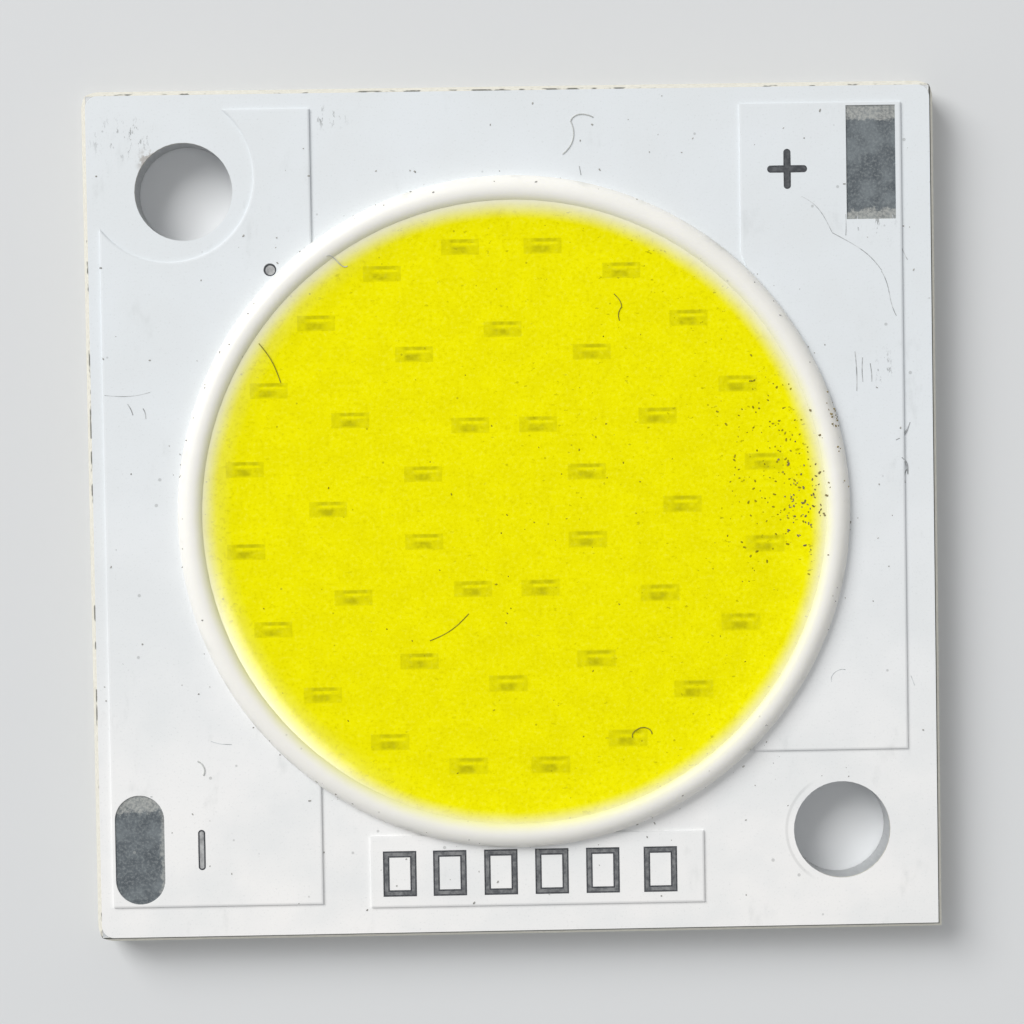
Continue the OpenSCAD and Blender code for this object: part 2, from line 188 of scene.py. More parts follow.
class Tree:
    """The node tree of one finish, with the piece's own coordinates in millimetres."""

    def __init__(self, name: str) -> None:
        """Starts an empty material.

        Args:
            name: The material's name.
        """
        self.material = bpy.data.materials.new(name)
        self.material.use_nodes = True
        self.material.node_tree.nodes.clear()
        own = self.node("ShaderNodeTexCoord", output="Object")
        self.place = self.node(
            "ShaderNodeVectorMath", {"operation": "SCALE"}, {"Vector": own, "Scale": 1 / MM}
        )
        self.x, self.y, self.z = (
            self.node("ShaderNodeSeparateXYZ", {}, {"Vector": self.place}, axis) for axis in "XYZ"
        )

    def node(
        self,
        kind: str,
        settings: dict | None = None,
        sockets: dict | None = None,
        output: int | str = 0,
    ) -> Signal:
        """Adds one node.

        Args:
            kind: The node's type.
            settings: Its settings, which are set before its sockets.
            sockets: A value or a signal for each input, by name or number.
            output: The output that is wanted.

        Returns:
            That output.
        """
        made = self.material.node_tree.nodes.new(kind)
        for name, value in (settings or {}).items():
            setattr(made, name, value)
        for key, value in (sockets or {}).items():
            if isinstance(value, Signal):
                self.material.node_tree.links.new(value.socket, made.inputs[key])
            else:
                made.inputs[key].default_value = value
        return Signal(self, made.outputs[output])

    def blend(self, share: Signal, first: Colour | Signal, second: Colour | Signal) -> Signal:
        """Mixes two colours.

        Args:
            share: 0 for the first colour, 1 for the second.
            first: A colour.
            second: Another colour.

        Returns:
            The mixed colour.
        """
        return self.node(
            "ShaderNodeMix", {"data_type": "RGBA"}, {0: share, 6: first, 7: second}, 2
        )

    def coats(self, base: Signal, *coats: tuple[Signal, Colour]) -> Signal:
        """Lays colours over a base, each with the share that it covers by."""
        for share, colour in coats:
            base = self.blend(share, base, colour)
        return base

    def noise(
        self, per_mm: float, detail: float = 2.0, rough: float = 0.5, where: Signal | None = None
    ) -> Signal:
        """Cloudy noise, 0 to 1 and mostly near a half.

        Args:
            per_mm: Blotches to the millimetre.
            detail: Finer layers added to it.
            rough: How strong the finer layers are.
            where: Coordinates, where they aren't the plain ones.

        Returns:
            The noise.
        """
        return self.node(
            "ShaderNodeTexNoise",
            {},
            {"Vector": where or self.place, "Scale": per_mm, "Detail": detail, "Roughness": rough},
        )

    def specks(self, per_mm: float, size: float, share: float) -> Signal:
        """Scattered round specks.

        Args:
            per_mm: Cells to the millimetre, each of which may hold one speck.
            size: A speck's radius, as a share of a cell.
            share: The share of cells that hold one.

        Returns:
            1 on a speck, else 0.
        """
        cell = {"Vector": self.place, "Scale": per_mm, "Randomness": 1.0}
        far = self.node("ShaderNodeTexVoronoi", {}, cell, "Distance")
        lot = self.node("ShaderNodeTexVoronoi", {}, cell, "Color")
        red = self.node("ShaderNodeSeparateColor", {}, {0: lot})
        return (1 - far.rise(size * 0.6, size)) * red.over(1 - share)

    def stretched(self, x: float, y: float) -> Signal:
        """The coordinates scaled by an amount along X and Y."""
        return self.node(
            "ShaderNodeVectorMath", {"operation": "MULTIPLY"}, {0: self.place, 1: (x, y, 1.0)}
        )

    def far(self, x: float = 0.0, y: float = 0.0) -> Signal:
        """The distance from an upright axis through (x, y), in millimetres."""
        return ((self.x - x) ** 2.0 + (self.y - y) ** 2.0) ** 0.5

    def spot(self, x: float, y: float, across: float, along: float, soft: float) -> Signal:
        """An oval patch with a soft edge.

        Args:
            x: Its centre.
            y: Its centre.
            across: Half its width along X.
            along: Half its width along Y.
            soft: The share of its radius over which it fades.

        Returns:
            1 in the patch and 0 outside it.
        """
        far = (((self.x - x) / across) ** 2.0 + ((self.y - y) / along) ** 2.0) ** 0.5
        return 1 - far.rise(1 - soft, 1.0)

    def bump(self, height: Signal, strength: float = 1.0) -> Signal:
        """A normal from a height in millimetres."""
        sockets = {"Strength": strength, "Distance": MM, "Height": height}
        return self.node("ShaderNodeBump", {}, sockets, "Normal")

    def surface(self, sockets: dict) -> bpy.types.Material:
        """Ends the tree in one shader.

        Args:
            sockets: Values or signals for the shader's sockets.

        Returns:
            The finished material.
        """
        shader = self.node("ShaderNodeBsdfPrincipled", {}, sockets)
        out = self.material.node_tree.nodes.new("ShaderNodeOutputMaterial")
        self.material.node_tree.links.new(shader.socket, out.inputs["Surface"])
        return self.material


def band(value: Signal, middle: Term, half: Term, soft: Term) -> Signal:
    """A soft-edged band of a value.

    Args:
        value: What is measured.
        middle: The band's middle.
        half: Half its width.
        soft: The width over which each side fades.

    Returns:
        1 in the band and 0 outside it.
    """
    return 1 - abs(value - middle).rise(half, soft + half)


# ---- Where things are, read from the frame ----


@dataclass(frozen=True)
class Box:
    """The outline of a CAD node from above, with its levels, in millimetres."""

    left: float
    bottom: float
    low: float
    right: float
    top: float
    high: float

    @classmethod
    def of(cls, node: str) -> "Box":
        """The box of a CAD node."""
        low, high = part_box(node)
        return cls(*(value / MM for value in (*low, *high)))

    @property
    def x(self) -> float:
        """Middle along X."""
        return (self.left + self.right) / 2

    @property
    def y(self) -> float:
        """Middle along Y."""
        return (self.bottom + self.top) / 2

    def inside(self, tree: Tree) -> Signal:
        """How far a point lies inside the outline, and less than 0 outside it."""
        across = (self.right - self.left) / 2 - abs(tree.x - self.x)
        along = (self.top - self.bottom) / 2 - abs(tree.y - self.y)
        return across.smaller(along)


@dataclass(frozen=True)
class DieRing:
    """One ring of dies, in millimetres and radians."""

    radius: float
    step: float
    start: float


@dataclass(frozen=True)
class DieField:
    """The rings of dies about their own centre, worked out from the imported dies."""

    x: float
    y: float
    length: float
    width: float
    rings: tuple[DieRing, ...]

    @classmethod
    def read(cls) -> "DieField":
        """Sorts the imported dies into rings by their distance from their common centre."""
        boxes = [Box.of(name) for name in sorted(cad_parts) if name.startswith("led_die")]
        x = sum(box.x for box in boxes) / len(boxes)
        y = sum(box.y for box in boxes) / len(boxes)
        found: dict[float, list[float]] = {}
        for box in boxes:
            radius = round(math.hypot(box.x - x, box.y - y), 1)
            found.setdefault(radius, []).append(math.atan2(box.y - y, box.x - x))
        rings = []
        for radius, angles in sorted(found.items()):
            step = 2 * math.pi / len(angles)
            start = min(angle % step for angle in angles)
            start = 0.0 if step - start < 0.01 else start
            rings.append(DieRing(radius, step, start))
        first = boxes[0]
        return cls(x, y, first.right - first.left, first.top - first.bottom, tuple(rings))


# ---- Finishes ----


@dataclass(frozen=True)
class MaskFinish:
    """White solder mask: satin, faintly orange-peeled, draped over the copper, and soiled, with
    painted light that makes it darker and bluer towards the top and painted shade along the foil
    edges.
    """

    name: str = "solder_mask"
    head_x: float = -11.15
    head_y: float = 11.15
    head_r: float = 2.85
    plus_left: float = 7.6
    plus_bottom: float = -7.95
    minus_right: float = -6.55
    drape: float = 0.08
    copper_t: float = 0.03
    screw_x: float = 10.65
    screw_y: float = -10.65
    screw_scuff_r: float = 1.84

    def copper(self, tree: Tree) -> Signal:
        """How far a point lies inside the nearest foil, and less than 0 outside every foil.

        Args:
            tree: The mask's tree.

        Returns:
            The distance in millimetres.
        """
        minus = Box.of("minus_foil").inside(tree)
        head = tree.far(self.head_x, self.head_y) - self.head_r
        corner = (self.head_x - tree.x).smaller(tree.y - self.head_y)
        minus = minus.smaller(head).smaller(-corner)
        label = Box.of("label_foil").inside(tree)
        plus = Box.of("plus_foil")
        strip = Box(self.plus_left, self.plus_bottom, 0.0, plus.right, plus.top, 0.0)
        panel = (self.minus_right - tree.x).smaller(minus)
        return panel.larger(label).larger(strip.inside(tree))

    def make(self) -> bpy.types.Material:
        """Builds the material."""
        tree = Tree(self.name)
        inside = self.copper(tree)
        drape = inside.rise(-self.drape, self.drape * 0.3)
        # painted shade: a faint grey line just outside each foil edge, where the mask steps over
        # the copper
        line = band(inside, -0.03, 0.01, 0.05)
        cloud = tree.noise(0.35, 3.0)
        grain = tree.noise(14.0, 3.0, 0.6)
        peel = tree.noise(3.2, 2.0, 0.45)
        smear = tree.noise(0.9, 4.0, 0.65, tree.stretched(1.0, 0.45)).rise(0.6, 0.78)
        ring = band(tree.far(self.screw_x, self.screw_y), self.screw_scuff_r, 0.02, 0.05)
        ring = ring * (self.screw_x - 0.8 - tree.x).rise(0.0, 0.6)
        chip = tree.spot(-11.78, 11.66, 0.5, 0.55, 0.7)
        chip = chip * tree.noise(3.0, 4.0, 0.7).rise(0.42, 0.56)
        # painted light: the mask's colour turns darker and bluer towards the top, standing in for
        # cooler light falling there
        upper = tree.y.rise(-15.0, 6.0)
        colour = tree.blend(upper, tint(249, 248, 247), tint(231, 236, 240))
        scrape = tree.noise(5.0, 4.0, 0.75, tree.stretched(1.0, 0.35)).rise(0.56, 0.63)
        worn = tree.spot(-12.6, 12.4, 1.4, 0.9, 0.8).larger(tree.spot(12.2, 9.2, 0.6, 0.9, 0.9))
        worn = worn.larger(tree.spot(12.2, 4.4, 0.4, 1.1, 0.8))
        worn = worn.larger(tree.spot(-5.9, 13.0, 0.9, 0.5, 0.9))
        colour = tree.coats(
            colour,
            (cloud.rise(0.3, 0.7) * 0.5, tint(226, 230, 232)),
            (grain.rise(0.55, 0.8) * 0.4, tint(202, 206, 207)),
            (smear * 0.2, tint(178, 182, 182)),
            (worn * scrape * 0.75, tint(128, 130, 130)),
            # painted shade along the foil edges
            (line * 0.09, tint(150, 155, 158)),
            (ring * 0.22, tint(150, 152, 152)),
            (chip * 0.6, tint(134, 120, 104)),
            (tree.specks(1.3, 0.09, 0.25) * 0.4, tint(128, 130, 128)),
        )
        height = drape * self.copper_t + grain * 0.002 + peel * 0.006
        return tree.surface({
            "Base Color": colour,
            "Roughness": 0.42 + grain * 0.16,
            "Specular IOR Level": 0.35,
            "Normal": tree.bump(height, 0.6),
        })


@dataclass(frozen=True)
class DamFinish:
    """White silicone bead: smooth and satin, with dust caught on it and painted shade round its
    foot.
    """

    name: str = "dam_ring"

    def make(self) -> bpy.types.Material:
        """Builds the material."""
        tree = Tree(self.name)
        cloud = tree.noise(0.5, 3.0)
        ripple = tree.noise(1.1, 3.0, 0.55)
        grain = tree.noise(12.0, 2.0, 0.6)
        foot = tree.far().rise(10.75, 11.0)
        colour = tree.blend(cloud, tint(240, 239, 233), tint(249, 247, 241))
        colour = tree.blend(GelFinish().fade(tree, ripple), GelFinish.glow, colour)
        colour = tree.coats(
            colour,
            (tree.specks(2.4, 0.11, 0.22) * (0.25 + foot * 0.45), tint(128, 124, 112)),
            # painted shade: a grey tone round the bead's outer foot, where it meets the mask
            (foot * ripple.rise(0.5, 0.75) * 0.35, tint(176, 178, 170)),
        )
        return tree.surface({
            "Base Color": colour,
            "Roughness": 0.32 + grain * 0.15,
            "Specular IOR Level": 0.4,
            "Subsurface Weight": 0.12,
            "Subsurface Radius": (0.0006, 0.0006, 0.0005),
            "Subsurface Scale": 1.0,
            "Normal": tree.bump(ripple * 0.03 + grain * 0.001, 0.5),
        })


@dataclass(frozen=True)
class GelFinish:
    """Phosphor gel: a dense lemon yellow through which the dies show as faint shadows."""

    name: str = "phosphor_fill"
    fade_x: float = 0.0
    fade_y: float = -0.1
    fade_from: float = 9.68
    fade_to: float = 10.55
    rim_r: float = 9.7
    glow: ClassVar[Colour] = tint(240, 238, 20)

    def fade(self, tree: Tree, wander: Signal) -> Signal:
        """How far the gel has thinned out towards the dam.

        Args:
            tree: The tree of the gel or the dam.
            wander: Noise that makes the edge wander.

        Returns:
            0 where the gel is deep, 1 where there is none.
        """
        reach = tree.far(self.fade_x, self.fade_y)
        return (reach + (wander - 0.5) * 0.12).rise(self.fade_from, self.fade_to)

    def dies(self, tree: Tree, field: DieField) -> Signal:
        """The shadow that the dies cast up through the gel.

        Args:
            tree: The gel's tree.
            field: Where the dies are.

        Returns:
            0 on clear gel, up to 1 on the darkest part of a die.
        """
        dx, dy = tree.x - field.x, tree.y - field.y
        reach = (dx ** 2.0 + dy ** 2.0) ** 0.5
        inner = field.rings[0]
        radius: Term = inner.radius
        step: Term = inner.step
        start: Term = inner.start
        for nearer, ring in zip(field.rings, field.rings[1:]):
            here = reach.over((nearer.radius + ring.radius) / 2)
            radius = here * (ring.radius - nearer.radius) + radius
            step = here * (ring.step - nearer.step) + step
            start = here * (ring.start - nearer.start) + start
        turn = ((dy.angle_with(dx) - start) / step).rounded() * step + start
        across = dx - turn.cos() * radius
        along = dy - turn.sin() * radius
        soft = 0.05 + (tree.x - tree.y).rise(-6.0, 14.0) * 0.07
        body = band(across, 0.0, field.length / 2 - 0.05, soft) * band(
            along, 0.0, field.width / 2 - 0.05, soft
        )
        wire_bar = band(along, 0.2, 0.03, soft) * band(across, 0.05, 0.3, 0.2)
        gap = band(along, 0.09, 0.01, soft) * band(across, 0.12, 0.3, 0.2)
        blob = band(along, -0.1, 0.06, soft + 0.03) * band(across, -0.05, 0.14, 0.22)
        patchy = tree.noise(4.0, 2.0).rise(0.25, 0.7) * 0.5 + 0.6
        shade = body * 0.38 + wire_bar * 0.4 + blob * 0.5 - gap * 0.35
        return (shade * patchy * body).larger(0.0).smaller(1.0)

    def make(self) -> bpy.types.Material:
        """Builds the material."""
        tree = Tree(self.name)
        fine = tree.noise(7.0, 3.0, 0.7)
        coarse = tree.noise(1.3, 3.0, 0.6)
        fade = self.fade(tree, coarse)
        colour = tree.blend(coarse.rise(0.3, 0.7), tint(243, 236, 0), tint(249, 243, 0))
        flecks = tree.noise(3.6, 3.0, 0.6, tree.stretched(1.0, 1.7)).rise(0.66, 0.71)
        right = (tree.x + tree.y * 0.4).rise(-6.0, 9.0) * 0.4 + 0.18
        colour = tree.coats(
            colour,
            (fine.rise(0.5, 0.72) * 0.6, tint(224, 215, 0)),
            (fine.rise(0.5, 0.24) * 0.4, tint(255, 250, 70)),
            (flecks * right, tint(156, 146, 6)),
            (tree.specks(1.7, 0.08, 0.3) * 0.5, tint(150, 140, 14)),
            (self.dies(tree, DieField.read()) * 0.58, tint(142, 136, 16)),
            (fade, tint(245, 244, 238)),
        )
        rim = tree.far().rise(self.rim_r - 0.5, self.rim_r)
        return tree.surface({
            "Base Color": colour,
            "Roughness": 0.42 + fine * 0.2,
            "Specular IOR Level": 0.03,
            "Coat Weight": rim * (-tree.x).rise(3.0, 7.0),
            "Coat Roughness": 0.12,
            "Normal": tree.bump(fine * 0.004 + coarse * 0.01, 0.6),
        })


@dataclass(frozen=True)
class AluminiumFinish:
    """Rolled aluminium: a brushed back, scored slopes and a torn, dirty web between them, with
    painted shade on the shoulder of the right and bottom sides.
    """

    name: str = "base_plate"
    half: float = 14.0
    slope_run: float = 0.2

    def make(self) -> bpy.types.Material:
        """Builds the material."""
        tree = Tree(self.name)
        rolled = tree.noise(1.0, 5.0, 0.65, tree.stretched(0.4, 14.0))
        torn = tree.noise(7.0, 4.0, 0.7)
        blotch = tree.noise(1.4, 3.0, 0.6)
        outward = abs(tree.x).larger(abs(tree.y))
        edge = outward.rise(self.half - self.slope_run - 0.02, self.half - 0.17)
        web = band(tree.z, 0.65, 0.2, 0.03)
        # painted shade: the shoulder band is darkened fully on the right and bottom sides, which
        # face away from the light, and only in noise patches elsewhere
        dull = (tree.x.larger(-tree.y)).rise(self.half - 0.25, self.half - 0.2)
        bright_side = tree.noise(0.9, 3.0, 0.7).rise(0.52, 0.6) * 0.9
        shoulder_dirt_and_shade = band(tree.z, 1.2, 0.06, 0.06) * (dull + bright_side).smaller(1.0)
        plain = tree.blend(rolled, tint(176, 178, 180), tint(214, 215, 215))
        rough = tree.blend(torn, tint(206, 202, 188), tint(248, 246, 236))
        rough = tree.coats(
            rough,
            (web * torn.rise(0.3, 0.6), tint(120, 118, 110)),
            # painted shade on the right and bottom shoulders, patchy darkening on the others
            (shoulder_dirt_and_shade * torn.rise(0.2, 0.42) * 0.95, tint(62, 64, 58)),
            (torn.rise(0.62, 0.72) * blotch.rise(0.5, 0.7) * 0.7, tint(96, 70, 56)),
        )
        height = rolled * 0.004 + edge * torn * 0.05
        return tree.surface({
            "Base Color": tree.blend(edge, plain, rough),
            "Metallic": 0.9 - edge * 0.75,
            "Roughness": 0.36 + edge * 0.25 + torn * 0.1,
            "Normal": tree.bump(height, 0.7),
        })


@dataclass(frozen=True)
class ResinFinish:
    """Filled resin layer under the copper, of which only the snapped edge shows."""

    name: str = "dielectric_layer"

    def make(self) -> bpy.types.Material:
        """Builds the material."""
        tree = Tree(self.name)
        torn = tree.noise(9.0, 3.0, 0.7)
        return tree.surface({
            "Base Color": tree.blend(torn, tint(196, 192, 176), tint(228, 226, 214)),
            "Roughness": 0.7,
            "Specular IOR Level": 0.3,
            "Normal": tree.bump(torn * 0.01, 0.6),
        })


@dataclass(frozen=True)
class TinFinish:
    """Tinned copper, gone dark and dull, and scraped bright at the ends of the pads."""

    name: str = "foil"

    def make(self) -> bpy.types.Material:
        """Builds the material."""
        tree = Tree(self.name)
        fine = tree.noise(11.0, 3.0, 0.65)
        cloud = tree.noise(1.6, 3.0, 0.6)
        ragged = (tree.noise(4.5, 4.0, 0.7) - 0.5) * 1.1
        plus_top = (tree.y + ragged * 0.5).rise(12.62, 12.72) * tree.x.over(5.0)
        plus_foot = (9.78 - tree.y + ragged * 0.6).rise(0.0, 0.1) * tree.x.over(5.0)
        minus_cap = (tree.y + ragged).rise(-9.72, -9.6) * (-tree.x).over(5.0)
        flank = (tree.x + ragged * 0.5).rise(-11.85, -11.75) * (-tree.x).over(5.0)
        bright = plus_top.larger(plus_foot).larger(minus_cap).larger(flank * 0.7)
        colour = tree.coats(
            tree.blend(cloud.rise(0.3, 0.7), tint(84, 90, 95), tint(116, 123, 127)),
            (fine.rise(0.42, 0.7) * 0.6, tint(140, 146, 148)),
            (tree.specks(3.0, 0.2, 0.12) * 0.5, tint(168, 170, 168)),
            (bright * (0.35 + fine.rise(0.35, 0.65) * 0.45), tint(180, 181, 177)),
        )
        return tree.surface({
            "Base Color": colour,
            "Metallic": 0.25,
            "Roughness": 0.5 + fine * 0.2,
            "Specular IOR Level": 0.3,
            "Normal": tree.bump(fine * 0.012 + cloud * 0.02, 0.7),
        })


@dataclass(frozen=True)
class PlainFinish:
    """A small part's finish: one colour that varies a little, with a fine grain."""

    name: str
    dark: Colour
    light: Colour
    per_mm: float = 6.0
    roughness: float = 0.5
    metallic: float = 0.0
    specular: float = 0.4
    grain_height: float = 0.004

    def make(self) -> bpy.types.Material:
        """Builds the material."""
        tree = Tree(self.name)
        cloud = tree.noise(self.per_mm, 3.0, 0.6)
        return tree.surface({
            "Base Color": tree.blend(cloud.rise(0.3, 0.7), self.dark, self.light),
            "Roughness": self.roughness + (cloud - 0.5) * 0.2,
            "Metallic": self.metallic,
            "Specular IOR Level": self.specular,
            "Normal": tree.bump(cloud * self.grain_height, 0.5),
        })


GOLD = PlainFinish("bond_wire", tint(206, 160, 70), tint(240, 200, 110), 12.0, 0.3, 1.0)
SAPPHIRE = PlainFinish("led_die", tint(92, 104, 128), tint(150, 164, 190), 5.0, 0.2, 0.2, 0.6)
ADHESIVE = PlainFinish("die_attach", tint(196, 190, 160), tint(224, 220, 196), 6.0, 0.35)
# painted shadow: the dark rim round each mark stands in for the shadow of the step at its edge
MARK_PAINTED_SHADOW = PlainFinish("mark_painted_shadow", tint(52, 54, 58), tint(84, 86, 90), 9.0, 0.6, 0.1, 0.3)
MARK_FLOOR = PlainFinish("mark_floor", tint(88, 90, 93), tint(138, 139, 140), 5.0, 0.5, 0.2, 0.3)
MARK_DARK = PlainFinish(
    "mark_floor_dark", tint(62, 64, 68), tint(98, 100, 103), 4.0, 0.5, 0.1, 0.3
)
MARK_PALE = PlainFinish("mark_floor_pale", tint(140, 141, 142), tint(186, 187, 187), 4.0, 0.5, 0.2)
FIBRE_OLIVE = PlainFinish("fibre_on_gel", tint(118, 112, 22), tint(156, 148, 34), 5.0, 0.6)
FIBRE_PALE = PlainFinish("fibre_pale", tint(188, 190, 188), tint(214, 216, 214), 5.0, 0.7)
CRACK = PlainFinish("crack", tint(158, 162, 164), tint(218, 222, 224), 3.0, 0.8)
SCRAPE = PlainFinish("scrape", tint(132, 135, 137), tint(204, 207, 209), 3.0, 0.8)
DUST = PlainFinish("dust", tint(128, 116, 12), tint(186, 174, 30), 9.0, 0.9, 0.0, 0.2)
GRIT = PlainFinish("grit", tint(104, 92, 58), tint(156, 142, 104), 9.0, 0.9, 0.0, 0.2)
SOOT = PlainFinish("dust_dark", tint(132, 131, 126), tint(190, 190, 186), 9.0, 0.9, 0.0, 0.2)


class Wardrobe:
    """Makes each finish once and hands it out."""

    def __init__(self) -> None:
        """Starts with no finish made."""
        self._made: dict[str, bpy.types.Material] = {}

    def get(self, finish) -> bpy.types.Material:
        """The material of a finish."""
        if finish.name not in self._made:
            self._made[finish.name] = finish.make()
        return self._made[finish.name]


# ---- Making meshes by hand ----


class Bench:
    """Where new pieces are shaped, one at a time."""

    def __init__(self, wardrobe: Wardrobe) -> None:
        """Keeps the finishes at hand."""
        self.wardrobe = wardrobe

    @staticmethod
    def clear() -> None:
        """Deselects everything, so that an operator acts on one piece only."""
        if bpy.context.object and bpy.context.object.mode != "OBJECT":
            bpy.ops.object.mode_set(mode="OBJECT")
        bpy.ops.object.select_all(action="DESELECT")

    @staticmethod
    def pick(
        piece: bpy.types.Object, wanted: Callable[[Vector], bool], faces: bool = False
    ) -> None:
        """Selects parts of a mesh in edit mode.

        Args:
            piece: The piece.
            wanted: Tells by its place, in millimetres, whether a vertex or face is taken.
            faces: Whether faces are taken by their centre, and not vertices.
        """
        bpy.ops.object.mode_set(mode="EDIT")
        bpy.ops.mesh.select_mode(type="FACE" if faces else "VERT")
        bpy.ops.mesh.select_all(action="DESELECT")
        bpy.ops.object.mode_set(mode="OBJECT")
        for part in piece.data.polygons if faces else piece.data.vertices:
            middle = part.center if faces else part.co
            part.select = wanted(piece.matrix_world @ middle / MM)
        bpy.ops.object.mode_set(mode="EDIT")

    @staticmethod
    def settle(piece: bpy.types.Object) -> None:
        """Puts a piece's place, turn and scale into its mesh."""
        bpy.ops.object.mode_set(mode="OBJECT")
        bpy.ops.object.transform_apply(location=True, rotation=True, scale=True)

    @staticmethod
    def thicken(thick: float) -> None:
        """Raises the flat piece that is being edited to a solid, thick millimetres high."""
        bpy.ops.mesh.select_all(action="SELECT")
        bpy.ops.mesh.extrude_region_move(TRANSFORM_OT_translate={"value": (0, 0, thick * MM)})
        bpy.ops.mesh.select_all(action="SELECT")
        bpy.ops.mesh.normals_make_consistent(inside=False)
        bpy.ops.object.mode_set(mode="OBJECT")

    def hand_over(
        self, piece: bpy.types.Object, name: str, slot: str, finishes: list, smooth: bool = False
    ) -> bpy.types.Object:
        """Names, dresses and attaches a finished piece to its body.

        Args:
            piece: The piece, already at its place.
            name: Its name.
            slot: A material slot's name; not used.
            finishes: Its finishes, in the order of its material slots.
            smooth: Whether it is shaded smooth.

        Returns:
            The piece.
        """
        piece.name = piece.data.name = name
        piece.data.materials.clear()
        for finish in finishes:
            piece.data.materials.append(self.wardrobe.get(finish))
        if smooth:
            bpy.ops.object.shade_smooth_by_angle(angle=SHARP_EDGE)
        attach(piece, BODY)
        log.info("%s: %d faces", name, len(piece.data.polygons))
        return piece


class Ground:
    """Finds the height of the part's upper surface under a point."""

    def __init__(self) -> None:
        """Takes the nodes that show from above."""
        names = ("phosphor_fill", "dam_ring", "solder_mask", "plus_foil", "minus_foil")
        self.nodes = [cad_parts[name] for name in names]

    def height(self, x: float, y: float) -> float:
        """The level of the uppermost surface.

        Args:
            x: The point, in millimetres.
            y: The point, in millimetres.

        Returns:
            The level in millimetres.
        """
        level = 0.0
        for node in self.nodes:
            hit, where, _, _ = node.ray_cast(Vector((x * MM, y * MM, RAY_TOP)), Vector((0, 0, -1)))
            if hit:
                level = max(level, where.z / MM)
        return level


# ---- Marks on the mask ----


